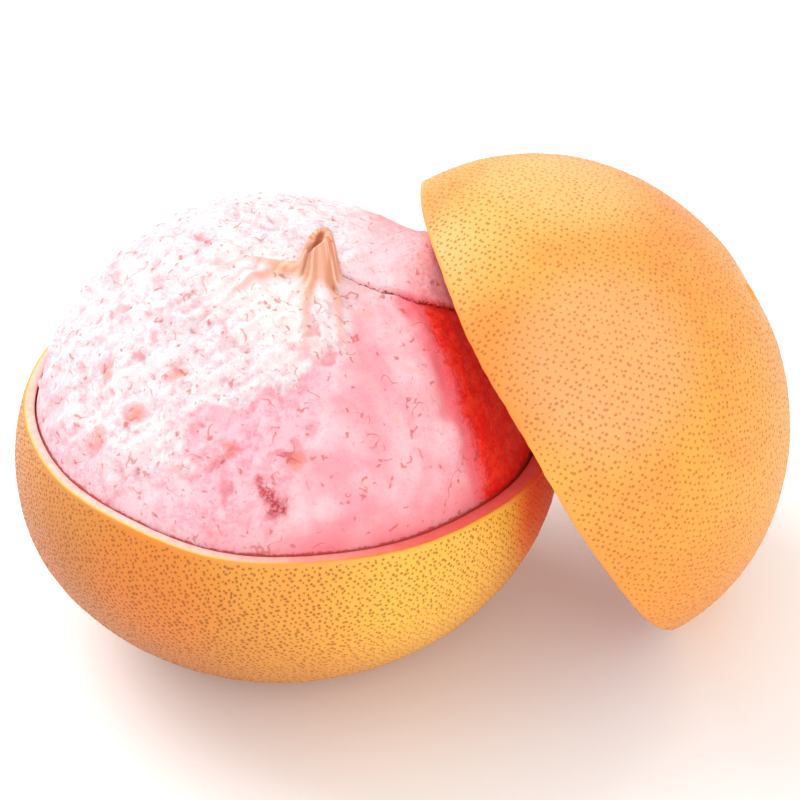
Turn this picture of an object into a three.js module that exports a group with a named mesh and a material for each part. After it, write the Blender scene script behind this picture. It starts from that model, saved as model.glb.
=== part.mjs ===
// A pomelo peeled for the table. Its rind was cut round the middle and pulled off in two halves. The
// fruit, still in its pink pith, sits in the lower half, and the upper half leans on it at the right.
// Millimetres, +Z up. The lower half stands on a flat spot at the origin, and the table is z = 0.
import * as THREE from 'three';

const radians = THREE.MathUtils.degToRad;
const { cos, sin, exp, hypot, max, min, PI } = Math;

// The whole fruit was a little wider than tall. The rind came off thin, so most pith stayed on the fruit.
const rindRadius = 84.7;
const rindThickness = 5;
const fitGap = 0.5;
const swellingHeight = 0.25;
const knifeWaves = [
  { perTurn: 5, phase: 0.6, height: 0.45 },
  { perTurn: 9, phase: 2, height: 0.3 },
];
// The rounded cut edge, from the skin inward: depth in the wall and rise over the cut.
const cutEdge = [
  [0.25, 0],
  [1.2, 0.5],
  [2.8, 0.7],
  [4.2, 0.45],
  [rindThickness, -0.5],
];

// The lower rind: half an egg, from its widest ring down to the blossom end, which is pressed flat.
const widestHeight = 63.7;
const lowerDepth = 64.7;
const leanSlope = Math.tan(radians(2.07));
const cutHeight = 78.7;

// The upper rind: its cut edge stands on the table and its crown points up and to the right.
const upperRadius = 80.3;
const upperDepth = 72.7;
const upperCentre = new THREE.Vector3(84.3, 13.8, 69);
const crownElevation = radians(30.3);
const crownTurn = radians(7.4);
const stemScarRadius = 9;
const stemScarDepth = 2.4;
const crownRingAngle = 0.04;

// The peeled fruit: a dome over the rind's widest ring, with the stem nub nearer the front.
const fruitRadius = rindRadius - rindThickness - fitGap;
const fruitHeight = 75.5;
const domePower = 1.94;
const domeShift = new THREE.Vector2(-6.6, 1.8);
const nubOnDisc = new THREE.Vector2(0.19, -0.21);
const nubHeight = 12.7;
const nubSpread = 5.3;
const nubPower = 4.5;
const nubSlant = 0.05;
const nubHollow = { x: -2.6, y: -1.1, radius: 1.9, depth: 3.6 };
const ridgeWidth = 2.3;
const lumpHeights = { coarse: 0.9, middle: 0.75, small: 0.5 };
const shrunkBy = 1.2;

// The lifted flap of pith: low at its torn left end, high where the upper rind's edge rests on it.
const flapHeight = { left: 1.4, right: 10 };
const tornEdgeShare = 0.24;

// Grid sizes: columns run round a piece, rows from one pole to the other.
const columns = 64;
const rindRows = { outside: 14, inside: 12 };
const fruitRows = { dome: 30, seat: 9 };

/** Closed skin from rings of points. The first and the last ring are single points, the poles. */
function closedSkin(rings) {
  const positions = rings.flat().flatMap((point) => [point.x, point.y, point.z]);
  const faces = [];
  let start = 1;
  for (let row = 1; row < rings.length; row += 1) {
    const above = rings[row - 1];
    const below = rings[row];
    const count = max(above.length, below.length);
    const aboveStart = start - above.length;
    for (let column = 0; column < count; column += 1) {
      const next = (column + 1) % count;
      if (above.length > 1) {
        faces.push(aboveStart + column, aboveStart + next, start + min(next, below.length - 1));
      }
      if (below.length > 1) {
        faces.push(aboveStart + min(column, above.length - 1), start + next, start + column);
      }
    }
    start += below.length;
  }
  const skin = new THREE.BufferGeometry();
  skin.setAttribute('position', new THREE.Float32BufferAttribute(positions, 3));
  skin.setIndex(faces);
  skin.computeVertexNormals();
  return skin;
}

/** One ring: the point at each turn round the piece. */
function ring(pointAt) {
  return Array.from({ length: columns }, (_, column) => pointAt((2 * PI * column) / columns));
}

/** Goes smoothly from 0 at one value to 1 at another. */
function fade(value, from, to) {
  const part = min(max((value - from) / (to - from), 0), 1);
  return part * part * (3 - 2 * part);
}

/** Slow swellings of a grown skin, about a half millimetre high and a thumb's length apart. */
function swelling(turn, latitude) {
  const wave = sin(3 * turn + 2 * latitude) + sin(5 * turn - 4 * latitude + 1);
  return swellingHeight * wave * cos(latitude) ** 2;
}

/** How far the knife wandered from a level cut at this turn. */
function cutWander(turn) {
  return knifeWaves.reduce((sum, wave) => sum + wave.height * sin(wave.perTurn * turn + wave.phase), 0);
}

/**
 * A half rind: up the outside from its pole, over the rounded cut edge and down the inside.
 * wallAt gives the point at a turn, a latitude and a depth in the wall.
 */
function halfRind(firstLatitude, edgeLatitude, wallAt) {
  const pole = -PI / 2;
  const rings = [[wallAt(0, pole, 0)]];
  for (let row = 0; row < rindRows.outside; row += 1) {
    const share = (row / rindRows.outside) ** 1.3;
    rings.push(ring((turn) => {
      return wallAt(turn, firstLatitude + share * (edgeLatitude(turn) - firstLatitude), 0);
    }));
  }
  for (const [depth, rise] of cutEdge) {
    rings.push(ring((turn) => wallAt(turn, edgeLatitude(turn) + rise / rindRadius, depth)));
  }
  for (let row = 1; row < rindRows.inside; row += 1) {
    const share = row / rindRows.inside;
    rings.push(ring((turn) => {
      const top = edgeLatitude(turn) + cutEdge.at(-1)[1] / rindRadius;
      return wallAt(turn, top + share * (pole - top), rindThickness);
    }));
  }
  rings.push([wallAt(0, pole, rindThickness)]);
  return closedSkin(rings);
}

/**
 * Point of the lower rind, with the blossom end pressed to z = 0. Over its widest ring the outside
 * curves in sooner than the inside, which follows the fruit, so the cut edge is a little thinner.
 */
function lowerWall(turn, latitude, depth) {
  const swell = depth > 0 ? 0 : swelling(turn, latitude);
  const rise = lowerDepth * max(sin(latitude), 0);
  const domeDepth = lowerDepth + ((fruitHeight + fitGap - lowerDepth) * depth) / rindThickness;
  const narrowing = latitude > 0 ? Math.sqrt(1 - (rise / domeDepth) ** 2) : cos(latitude);
  const out = (rindRadius + swell - depth) * narrowing;
  const drop = (lowerDepth - depth) * min(sin(latitude), 0);
  const up = max(widestHeight + rise + drop, 0);
  return new THREE.Vector3(out * cos(turn) + leanSlope * up, out * sin(turn), up);
}

/** Latitude of the knife's cut: it rises toward the front and the left. */
function lowerCut(turn) {
  const height = cutHeight - 3.6 * cos(turn) - 3 * sin(turn) + 0.9 * cos(2 * turn) + cutWander(turn);
  return Math.asin((height - widestHeight) / lowerDepth);
}

function lowerRind() {
  const flatLatitude = -Math.asin(widestHeight / lowerDepth);
  return halfRind(flatLatitude, lowerCut, lowerWall);
}

// Directions of the upper rind: its crown, the top of its cut edge, and along that edge.
const crown = new THREE.Vector3(
  cos(crownElevation) * cos(crownTurn),
  cos(crownElevation) * sin(crownTurn),
  sin(crownElevation),
);
const edgeTop = new THREE.Vector3(0, 0, 1).addScaledVector(crown, -crown.z).normalize();
const edgeSide = new THREE.Vector3().crossVectors(crown, edgeTop);

/** Point of the upper rind. Its edge is pressed flat where it stands, and its crown has a stem scar. */
function upperWall(turn, latitude, depth) {
  const swell = depth > 0 ? 0 : swelling(turn + 1, latitude);
  const fromStem = upperRadius * cos(latitude);
  const scar = depth > 0 ? 0 : stemScarDepth * exp(-((fromStem / stemScarRadius) ** 2));
  const out = (upperRadius + swell - depth) * cos(latitude);
  const along = (upperDepth - depth) * -sin(latitude) - scar;
  const point = upperCentre.clone();
  point.addScaledVector(edgeTop, out * cos(turn));
  point.addScaledVector(edgeSide, -out * sin(turn));
  point.addScaledVector(crown, along);
  point.z = max(point.z, 0);
  return point;
}

function upperRind() {
  const firstLatitude = -PI / 2 + crownRingAngle;
  return halfRind(firstLatitude, (turn) => cutWander(turn + 2) / upperRadius, upperWall);
}

/** Middle of the fruit at a height: it leans with the lower rind, and its crown is shifted. */
function fruitMiddle(height) {
  const share = min(max((height - widestHeight) / fruitHeight, 0), 1) ** 2;
  return new THREE.Vector2(leanSlope * height + domeShift.x * share, domeShift.y * share);
}

/** Torn pith at the left and front: rounded lumps, a few millimetres high, where tufts were pulled off. */
function lumps(point) {
  const rough = 0.22 + 0.78 * fade(point.x, 16, -8);
  const coarse = sin(0.31 * point.x + 0.6) * sin(0.27 * point.y - 0.35 * point.z + 1.1);
  const middle = sin(0.52 * point.x - 0.4 * point.z) * sin(0.49 * point.y + 0.3 * point.x + 2);
  const small = sin(0.83 * point.y + 0.5 * point.z + 0.4) * sin(0.9 * point.x - 0.61 * point.z + 1.7);
  return rough * (lumpHeights.coarse * coarse + lumpHeights.middle * middle + lumpHeights.small * small);
}

/** Dents and scars at chosen places: [x, y, z, radius, depth] of each, a negative depth is a bump. */
const scars = [
  [1.5, -71, 96, 4.5, 3.2],
  [8.5, -70, 96, 4, -1.6],
  [-38, -59, 95, 5, 2],
  [-52, -40, 104, 7, 1.6],
  [-20, -62, 108, 8, -1.4],
  [-62, -20, 100, 9, -1.5],
  [-30, -35, 128, 8, 1.2],
];

function scarDepth(point) {
  return scars.reduce((sum, [x, y, z, radius, depth]) => {
    const away = hypot(point.x - x, point.y - y, point.z - z) / radius;
    return sum + depth * exp(-(away ** 2));
  }, 0);
}

// The flap's torn front edge in plan, from the nub to the right.
const tear = [
  [18, -13],
  [25, -16.5],
  [31.5, -15],
  [37, -13.6],
  [42.2, -13.6],
  [47, -11],
  [54, -7],
];

/** Plan distance in front of the tear, negative behind it, in the fruit's own x range. */
function frontOfTear(x, y) {
  const last = tear.length - 1;
  const index = tear.findIndex(([tearX]) => tearX > x);
  const right = index < 0 ? last : max(index, 1);
  const [x0, y0] = tear[right - 1];
  const [x1, y1] = tear[right];
  const share = min(max((x - x0) / (x1 - x0), 0), 1);
  return y0 + share * (y1 - y0) - y;
}

/** Height of the flap over the dome: a low torn edge, a rounded rise behind it, and a long slope down. */
function flapRise(x, y) {
  const front = frontOfTear(x, y);
  const height = flapHeight.left + (flapHeight.right - flapHeight.left) * fade(x, 30, 47);
  const along = fade(x, 15, 24) * fade(x, 66, 51);
  const edge = tornEdgeShare * fade(front, 1.2, -1.8);
  const rise = (1 - tornEdgeShare) * fade(front, 0.5, -12.5);
  return height * along * (edge + rise) * fade(front, -52, -14);
}

/** Turns of the ridges about the nub, with the height and the reach of each. */
const ridges = [
  [radians(179), 2.3, 30],
  [radians(199), 1.9, 27],
  [radians(228), 1.1, 14],
  [radians(257), 2.3, 22],
  [radians(272), 1.5, 30],
  [radians(292), 2.1, 21],
  [radians(335), 1.1, 13],
  [radians(38), 1.2, 18],
  [radians(88), 1.6, 24],
  [radians(128), 1.3, 20],
];

/** The stem nub: a blunt stump, higher and whole at its right, and ridges of pith running out from it. */
function nubRise(away, turn) {
  const x = away * cos(turn);
  const y = away * sin(turn);
  const stump = nubHeight * (1 + nubSlant * x) * exp(-((away / nubSpread) ** nubPower));
  const fromHollow = hypot(x - nubHollow.x, y - nubHollow.y);
  const hollow = nubHollow.depth * exp(-((fromHollow / nubHollow.radius) ** 2));
  const ridge = ridges.reduce((sum, [at, height, reach]) => {
    const sideways = away * sin((turn - at) / 2) * 2;
    return sum + height * exp(-((sideways / ridgeWidth) ** 2)) * exp(-((away / reach) ** 2));
  }, 0);
  return stump - hollow + fade(away, 2, 7) * ridge;
}

/** The red side of the fruit has drawn back from the rind a little, at the right near the cut edge. */
function shrinkage(turn, height) {
  const facing = fade(cos(turn + radians(22)), 0.35, 0.95);
  return shrunkBy * facing * fade(height, 38, 70) * fade(height, 122, 92);
}

/** Point of the dome: reach goes from 0 at the nub to 1 at the widest ring. */
function domePoint(turn, reach) {
  const ringX = reach * cos(turn) + nubOnDisc.x * (1 - reach * reach);
  const ringY = reach * sin(turn) + nubOnDisc.y * (1 - reach * reach);
  const fromMiddle = min(hypot(ringX, ringY), 1);
  const lift = max(1 - fromMiddle ** domePower, 0) ** (1 / domePower);
  const height = widestHeight + fruitHeight * lift;
  const middle = fruitMiddle(height);
  return new THREE.Vector3(middle.x + fruitRadius * ringX, middle.y + fruitRadius * ringY, height);
}

/** Middle of the nub on the dome. */
const nubFoot = domePoint(0, 0);

/** Moves a point of the plain dome in or out by its relief. */
function withRelief(plain) {
  const middle = fruitMiddle(plain.z);
  const outward = new THREE.Vector3(
    (plain.x - middle.x) / fruitRadius ** 2,
    (plain.y - middle.y) / fruitRadius ** 2,
    (plain.z - widestHeight) / fruitHeight ** 2,
  ).normalize();
  const away = hypot(plain.x - nubFoot.x, plain.y - nubFoot.y);
  const about = Math.atan2(plain.y - nubFoot.y, plain.x - nubFoot.x);
  const seated = fade(plain.z, 84, 96);
  const relief = seated * (lumps(plain) * fade(away, 6, 20) - scarDepth(plain));
  const point = plain.clone().addScaledVector(outward, relief);
  point.z += nubRise(away, about) + flapRise(plain.x, plain.y);
  const inward = shrinkage(Math.atan2(plain.y, plain.x), plain.z) / fruitRadius;
  point.x -= (plain.x - middle.x) * inward;
  point.y -= (plain.y - middle.y) * inward;
  return point;
}

/** Point of the hidden half, which follows the inside of the lower rind. */
function seatPoint(turn, latitude) {
  const out = fruitRadius * cos(latitude);
  const up = widestHeight + (lowerDepth - rindThickness - fitGap) * sin(latitude);
  const inward = shrinkage(turn, up) * cos(latitude);
  return new THREE.Vector3(
    (out - inward) * cos(turn) + leanSlope * up,
    (out - inward) * sin(turn),
    up,
  );
}

function peeledFruit() {
  const rings = [[seatPoint(0, -PI / 2)]];
  for (let row = 1; row <= fruitRows.seat; row += 1) {
    const latitude = (-PI / 2) * (1 - row / (fruitRows.seat + 1));
    rings.push(ring((turn) => seatPoint(turn, latitude)));
  }
  for (let row = fruitRows.dome; row > 0; row -= 1) {
    const reach = (row / fruitRows.dome) ** 1.35;
    rings.push(ring((turn) => withRelief(domePoint(turn, reach))));
  }
  rings.push([withRelief(nubFoot)]);
  return closedSkin(rings);
}

/** One named piece with its finish. */
function piece(name, skin, color, roughness) {
  const material = new THREE.MeshStandardMaterial({ color, roughness, metalness: 0 });
  const mesh = new THREE.Mesh(skin, material);
  mesh.name = name;
  return mesh;
}

const pomelo = new THREE.Group();
pomelo.add(
  piece('lower_rind', lowerRind(), 0xf0a24a, 0.45),
  piece('peeled_fruit', peeledFruit(), 0xf6c4c8, 0.7),
  piece('upper_rind', upperRind(), 0xf7ae52, 0.45),
);

export default pomelo;
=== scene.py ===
import bpy
import numpy as np
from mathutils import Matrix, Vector


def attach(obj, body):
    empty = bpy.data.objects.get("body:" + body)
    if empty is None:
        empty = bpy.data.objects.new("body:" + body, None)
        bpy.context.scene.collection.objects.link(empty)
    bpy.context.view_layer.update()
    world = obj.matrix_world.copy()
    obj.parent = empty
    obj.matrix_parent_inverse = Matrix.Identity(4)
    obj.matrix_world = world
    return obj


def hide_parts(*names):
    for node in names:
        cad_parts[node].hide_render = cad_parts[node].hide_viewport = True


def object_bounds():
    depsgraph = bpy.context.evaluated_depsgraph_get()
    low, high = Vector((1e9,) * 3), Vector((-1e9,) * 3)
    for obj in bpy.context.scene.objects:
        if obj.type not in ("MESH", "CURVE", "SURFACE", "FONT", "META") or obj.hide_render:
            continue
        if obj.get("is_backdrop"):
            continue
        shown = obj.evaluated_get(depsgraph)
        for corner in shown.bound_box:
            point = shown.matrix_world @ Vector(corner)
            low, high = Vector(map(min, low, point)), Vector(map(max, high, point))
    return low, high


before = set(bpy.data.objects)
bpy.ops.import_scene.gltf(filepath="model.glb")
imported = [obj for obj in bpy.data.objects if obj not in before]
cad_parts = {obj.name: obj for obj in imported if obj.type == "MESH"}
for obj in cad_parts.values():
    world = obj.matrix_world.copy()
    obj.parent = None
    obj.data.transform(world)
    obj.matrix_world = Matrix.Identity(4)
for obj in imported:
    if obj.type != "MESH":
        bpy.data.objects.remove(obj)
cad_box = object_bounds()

# The camera stands where the photograph was taken: 35 degrees above the table, three quarters of a
# metre away, with a lens that gives the photograph's framing on its 800 by 800 frame.
CAMERA_LIFT = np.radians(35)
CAMERA_DISTANCE = 0.75
CAMERA_TARGET = Vector((0.037, 0, 0.0798))
SENSOR_WIDTH = 36
FOCAL_PIXELS = 2444
FRAME_PIXELS = 800

camera_data = bpy.data.cameras.new("camera")
camera_data.sensor_width = SENSOR_WIDTH
camera_data.lens = SENSOR_WIDTH * FOCAL_PIXELS / FRAME_PIXELS
camera = bpy.data.objects.new("camera", camera_data)
camera.location = CAMERA_TARGET + CAMERA_DISTANCE * Vector((0, -np.cos(CAMERA_LIFT), np.sin(CAMERA_LIFT)))
camera.rotation_euler = (np.pi / 2 - CAMERA_LIFT, 0, 0)
bpy.context.scene.collection.objects.link(camera)
bpy.context.scene.camera = camera
bpy.context.scene.view_settings.view_transform = "Standard"


# The lower half of the rind, still round the fruit: a bowl of springy citrus peel standing on its
# blossom end. A knife went round the middle, so the cut edge wanders a little and shows pale pith
# between the thin orange skin and the fruit.
# Sizes from here on are in millimetres, turns and latitudes in radians.
MM = 0.001
RIND_RADIUS = 84.7
RIND_THICKNESS = 5.0
FIT_GAP = 0.5
WIDEST_HEIGHT = 63.7
LOWER_DEPTH = 64.7
LEAN_SLOPE = np.tan(np.radians(2.07))
CUT_HEIGHT = 78.7
FRUIT_HEIGHT = 75.5
RIND_COLUMNS = 360
RIND_ROWS = {"outside": 104, "inside": 64}
POLE_CROWDING = 1.15
# The rounded cut edge: depth in the wall, and rise over the knife's cut, in millimetres.
EDGE_STEPS = [(0.1, 0.0), (0.35, 0.16), (0.7, 0.3), (1.2, 0.46), (1.9, 0.6), (2.7, 0.66), (3.5, 0.58),
              (4.2, 0.36), (4.7, 0.02), (4.95, -0.5)]
CUT_RISE = {"left": 3.6, "front": 3.0, "ends": 0.9}
CUT_WANDER = (0.45, 0.3)
CUT_TATTER = 0.08
SKIN_SWELL = 0.25
# Relief of the skin and of the inside: sizes of the patches and how far they move it.
PEBBLE_SIZES = (2.6, 9.0)
PEBBLE_DEPTHS = (0.09, 0.14)
FELT_SIZES = (7.0, 2.4)
FELT_DEPTHS = (0.35, 0.22)
# The fruit has drawn back from the rind at one turn, and thicker pith fills most of that gap.
DRAWN_BACK = 1.2
DRAWN_BACK_TURN = np.radians(-22)
PITH_FILL = 0.9
# Juice stain and painted red bounce light from the fruit's red side on the cut edge: its way on the
# table, toward the upper rind, how far until it is full, how red.
JUICE_AND_RED_LIGHT_WAY = (0.93, -0.36)
JUICE_AND_RED_LIGHT_REACH = 80
JUICE_AND_RED_LIGHT_STRENGTH = 0.85
GLAND_SIDES = 5
GLAND_SHAKE = 0.3
GLAND_STRETCH = (0.8, 1.2)
GLAND_RADII = {"lower": (0.36, 0.6), "upper": (0.35, 0.6)}
GLAND_HEIGHTS = {"crown": 0.07, "rim": 0.03, "root": -0.3}
LOWER_GLANDS = 17900
# Latitudes: the highest that a gland may have, and how far glands stay from the cut and the flat spot.
HIGHEST_GLAND = 0.34
GLAND_EDGE_MARGIN = 0.012
FLAT_MARGIN = 0.11


def fade(value, start, end):
    """Goes smoothly from 0 at start to 1 at end: the cubic 3t^2 - 2t^3 of the share of the way."""
    share = np.clip((value - start) / (end - start), 0, 1)
    return share * share * (3 - 2 * share)


def wool(points, cell, seed):
    """Value noise from -1 to 1: random numbers at the corners of cubes of side cell, blended between."""
    side = 24
    table = np.random.default_rng(seed).random((side, side, side))
    place = points / cell
    corner = np.floor(place).astype(int)
    share = place - corner
    share = share * share * (3 - 2 * share)
    total = np.zeros(points.shape[:-1])
    for step in np.ndindex(2, 2, 2):
        nearness = np.where(np.array(step) == 1, share, 1 - share).prod(axis=-1)
        index = (corner + step) % side
        total += nearness * table[index[..., 0], index[..., 1], index[..., 2]]
    return 2 * total - 1


def closed_skin(name, grid, first_pole, last_pole, values):
    """Rings of points joined by quads, with a fan of triangles to a pole at each end, millimetres.

    values gives number attributes for the rings; a pole takes the mean of the ring beside it.
    """
    rows, columns, _ = grid.shape
    points = np.concatenate([[first_pole], grid.reshape(-1, 3), [last_pole]]) * MM
    here = np.arange(rows * columns).reshape(rows, columns) + 1
    beside = np.roll(here, -1, axis=1)
    quads = np.stack([here[:-1], beside[:-1], beside[1:], here[1:]], axis=-1).reshape(-1, 4)
    first = np.stack([np.zeros(columns, int), beside[0], here[0]], axis=-1)
    last = np.stack([here[-1], beside[-1], np.full(columns, rows * columns + 1)], axis=-1)
    mesh = bpy.data.meshes.new(name)
    mesh.from_pydata(points.tolist(), [], first.tolist() + quads.tolist() + last.tolist())
    mesh.shade_smooth()
    for label, ring_values in values.items():
        attribute = mesh.attributes.new(label, "FLOAT", "POINT")
        flat = np.concatenate([[ring_values[0].mean()], ring_values.ravel(), [ring_values[-1].mean()]])
        attribute.data.foreach_set("value", flat.astype(np.float32))
    piece = bpy.data.objects.new(name, mesh)
    bpy.context.scene.collection.objects.link(piece)
    return piece


def swelling(turn, latitude):
    """Slow swellings of a grown skin: two sine waves over turn and latitude, dying out at the pole."""
    wave = np.sin(3 * turn + 2 * latitude) + np.sin(5 * turn - 4 * latitude + 1)
    return SKIN_SWELL * wave * np.cos(latitude) ** 2


def cut_wander(turn):
    """How far the knife wandered from a level cut: two sine waves over the turn."""
    return CUT_WANDER[0] * np.sin(5 * turn + 0.6) + CUT_WANDER[1] * np.sin(9 * turn + 2)


def edge_tatter(turn):
    """Fine tatter of the cut edge, up to a quarter of a millimetre: three quick sine waves over the turn."""
    return CUT_TATTER * (np.sin(31 * turn) + np.sin(53 * turn + 1) + np.sin(97 * turn + 2))


def on_ball(turn, latitude):
    """Point of a ball of radius 1."""
    level = np.cos(latitude)
    return np.stack([np.cos(turn) * level, np.sin(turn) * level, np.sin(latitude)], axis=-1)


def half_rind(name, first_latitude, edge_latitude, wall_at, marks_at):
    """Half a rind: from its pole up the outside, over the rounded cut edge and down the inside.

    wall_at turns a turn, a latitude and a depth in the wall into a point. marks_at gives more number
    attributes from the points and their depths.
    """
    turn = np.linspace(0, 2 * np.pi, RIND_COLUMNS, endpoint=False)
    edge = edge_latitude(turn)
    outside = (np.arange(RIND_ROWS["outside"]) / RIND_ROWS["outside"])[:, None] ** POLE_CROWDING
    inside = (np.arange(1, RIND_ROWS["inside"]) / RIND_ROWS["inside"])[:, None]
    lip = np.array(EDGE_STEPS)
    top = edge + lip[-1, 1] / RIND_RADIUS
    lip_rise = (lip[:, 1:] + edge_tatter(turn) * np.sin(np.pi * lip[:, :1] / RIND_THICKNESS)) / RIND_RADIUS
    latitude = np.concatenate([
        first_latitude + outside * (edge - first_latitude),
        edge + lip_rise,
        top + inside * (-np.pi / 2 - top),
    ])
    depth = np.concatenate([
        np.zeros(len(outside)), lip[:, 0], np.full(len(inside), RIND_THICKNESS),
    ])[:, None] + 0 * latitude
    grid = wall_at(turn + 0 * latitude, latitude, depth)
    poles = wall_at(np.zeros(2), np.full(2, -np.pi / 2), np.array([0, RIND_THICKNESS]))
    return closed_skin(name, grid, poles[0], poles[1], {"wall_depth": depth, **marks_at(grid, depth)})


def pebbling(points):
    """The skin's orange-peel relief: fine and broad value noise, each lowered so that none goes outward."""
    fine = PEBBLE_DEPTHS[0] * (wool(points, PEBBLE_SIZES[0], 11) - 1)
    return fine + PEBBLE_DEPTHS[1] * (wool(points, PEBBLE_SIZES[1], 12) - 1)


def inner_felt(points):
    """The inside's felted relief, where the rind tore from the fruit: coarse and fine value noise."""
    return FELT_DEPTHS[0] * wool(points, FELT_SIZES[0], 13) + FELT_DEPTHS[1] * wool(points, FELT_SIZES[1], 14)


def shrinkage(turn, height):
    """How far the fruit has drawn back from the rind: fades of the turn and height, most near the cut."""
    facing = fade(np.cos(turn - DRAWN_BACK_TURN), 0.35, 0.95)
    return DRAWN_BACK * facing * fade(height, 38, 70) * fade(height, 122, 92)


def lower_wall(turn, latitude, depth):
    """Point of the lower rind: an egg whose blossom end is pressed flat on the table.

    Below the widest ring both walls are ellipses. Above it the inside follows the fruit's dome. The pith
    is thicker where the fruit has drawn back.
    """
    swell = np.where(depth > 0, 0, swelling(turn, latitude))
    rise = LOWER_DEPTH * np.maximum(np.sin(latitude), 0)
    dome_depth = LOWER_DEPTH + (FRUIT_HEIGHT + FIT_GAP - LOWER_DEPTH) * depth / RIND_THICKNESS
    narrowing = np.where(latitude > 0, np.sqrt(1 - (rise / dome_depth) ** 2), np.cos(latitude))
    drop = (LOWER_DEPTH - depth) * np.minimum(np.sin(latitude), 0)
    height = WIDEST_HEIGHT + rise + drop
    depth = depth * (1 + PITH_FILL * shrinkage(turn, height) / RIND_THICKNESS)
    relief = np.where(depth == 0, pebbling(on_ball(turn, latitude) * RIND_RADIUS), 0) * fade(height, 0, 3)
    out = (RIND_RADIUS + swell - depth) * narrowing + relief
    height = np.maximum(height, 0)
    return np.stack([out * np.cos(turn) + LEAN_SLOPE * height, out * np.sin(turn), height], axis=-1)


def lower_marks(points, depth):
    """Juice stain and painted red bounce light on the lower rind's pith, redder toward the upper rind, with
    painted shade as a dark band along the gap to the fruit.
    """
    along = JUICE_AND_RED_LIGHT_WAY[0] * points[..., 0] + JUICE_AND_RED_LIGHT_WAY[1] * points[..., 1]
    red_side = fade(along + 4 * wool(points, 5.0, 16), 0, JUICE_AND_RED_LIGHT_REACH)
    return {"stain": JUICE_AND_RED_LIGHT_STRENGTH * red_side, "seam": fade(depth, 4.6, 4.95) * fade(points[..., 2], 50, 60)}


def lower_cut(turn):
    """Latitude of the knife's cut: it rises toward the front and the left, in one and two waves a turn."""
    height = CUT_HEIGHT - CUT_RISE["left"] * np.cos(turn) - CUT_RISE["front"] * np.sin(turn)
    height = height + CUT_RISE["ends"] * np.cos(2 * turn) + cut_wander(turn)
    return np.arcsin((height - WIDEST_HEIGHT) / LOWER_DEPTH)


def oil_glands(name, count, spread, radii, latitude_range, wall_at):
    """Lens-shaped sacs scattered evenly over the outside: a sunflower spiral, shaken by a third of a step.

    Each is five-sided, its rim just over the skin, its crown a little higher and its root below. The
    gland attribute is 1 at crown and root and 0 at the rim. latitude_range is the lowest and highest
    latitude, and the cut's latitude as a function of the turn.
    """
    chance = np.random.default_rng(spread)
    lowest, highest, cut_edge = latitude_range
    low, high = np.sin(lowest), np.sin(highest)
    level = low + (high - low) * (np.arange(count) + 0.5) / count
    turn = np.arange(count) * np.pi * (3 - np.sqrt(5))
    step = np.sqrt(2 * np.pi * (high - low) / count)
    latitude = np.arcsin(level) + step * chance.uniform(-GLAND_SHAKE, GLAND_SHAKE, count)
    turn = turn + step * chance.uniform(-GLAND_SHAKE, GLAND_SHAKE, count) / np.maximum(np.cos(latitude), 0.05)
    keep = latitude < cut_edge(turn) - GLAND_EDGE_MARGIN
    turn, latitude = turn[keep], latitude[keep]
    surface = np.zeros(len(turn))
    centre = wall_at(turn, latitude, surface)
    nearby = 0.004
    east = wall_at(turn + nearby, latitude, surface) - centre
    north = wall_at(turn, latitude + nearby, surface) - centre
    east /= np.linalg.norm(east, axis=1, keepdims=True)
    outward = np.cross(east, north)
    outward /= np.linalg.norm(outward, axis=1, keepdims=True)
    north = np.cross(outward, east)
    size = chance.uniform(*radii, len(turn))[:, None]
    stretch = chance.uniform(*GLAND_STRETCH, len(turn))[:, None]
    crown, rim, root = [centre + GLAND_HEIGHTS[part] * outward for part in ("crown", "rim", "root")]
    rims = [rim + size * (np.cos(a) * stretch * east + np.sin(a) / stretch * north)
            for a in np.arange(GLAND_SIDES) * 2 * np.pi / GLAND_SIDES]
    points = np.stack([crown, root] + rims, axis=1)
    points[..., 2] = np.maximum(points[..., 2], 0)
    around = np.arange(GLAND_SIDES)
    beside = (around + 1) % GLAND_SIDES
    over = np.stack([0 * around, around + 2, beside + 2], axis=1)
    under = np.stack([0 * around + 1, beside + 2, around + 2], axis=1)
    first = (GLAND_SIDES + 2) * np.arange(len(turn))[:, None, None]
    faces = (np.concatenate([over, under])[None] + first).reshape(-1, 3)
    mesh = bpy.data.meshes.new(name)
    mesh.from_pydata((points.reshape(-1, 3) * MM).tolist(), [], faces.tolist())
    mesh.shade_smooth()
    shade = np.tile([1.0, 1.0] + [0.0] * GLAND_SIDES, len(turn))
    attribute = mesh.attributes.new("gland", "FLOAT", "POINT")
    attribute.data.foreach_set("value", shade.astype(np.float32))
    piece = bpy.data.objects.new(name, mesh)
    bpy.context.scene.collection.objects.link(piece)
    return piece


def linear(code):
    """An sRGB hex colour as linear red, green, blue and alpha."""
    parts = np.array([int(code[i:i + 2], 16) for i in (1, 3, 5)]) / 255
    parts = np.where(parts <= 0.04045, parts / 12.92, ((parts + 0.055) / 1.055) ** 2.4)
    return (*parts.tolist(), 1.0)


NODE_SETTINGS = {"Mix": {"data_type": "RGBA"}, "MapRange": {"interpolation_type": "SMOOTHSTEP"}}


def add(tree, kind, inputs=(), out=None, **settings):
    """Adds a shader node and gives its output called out, or else the first one in use.

    settings are its properties, over those that its kind has throughout. inputs are numbers, colours or
    the sockets that they come from, by name or in the order of the node's inputs in use.
    """
    made = tree.nodes.new("ShaderNode" + kind)
    for key, value in {**NODE_SETTINGS.get(kind, {}), **settings}.items():
        setattr(made, key, value)
    in_use = [number for number, socket in enumerate(made.inputs) if socket.enabled]
    by_key = inputs if isinstance(inputs, dict) else dict(zip(in_use, inputs))
    for key, value in by_key.items():
        if isinstance(value, bpy.types.NodeSocket):
            tree.links.new(value, made.inputs[key])
        else:
            made.inputs[key].default_value = value
    return made.outputs[out] if out else next(socket for socket in made.outputs if socket.enabled)


def across(size_mm):
    """The Scale of a noise or a cell pattern whose patches are about size_mm across."""
    return 1 / (size_mm * MM)


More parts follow.
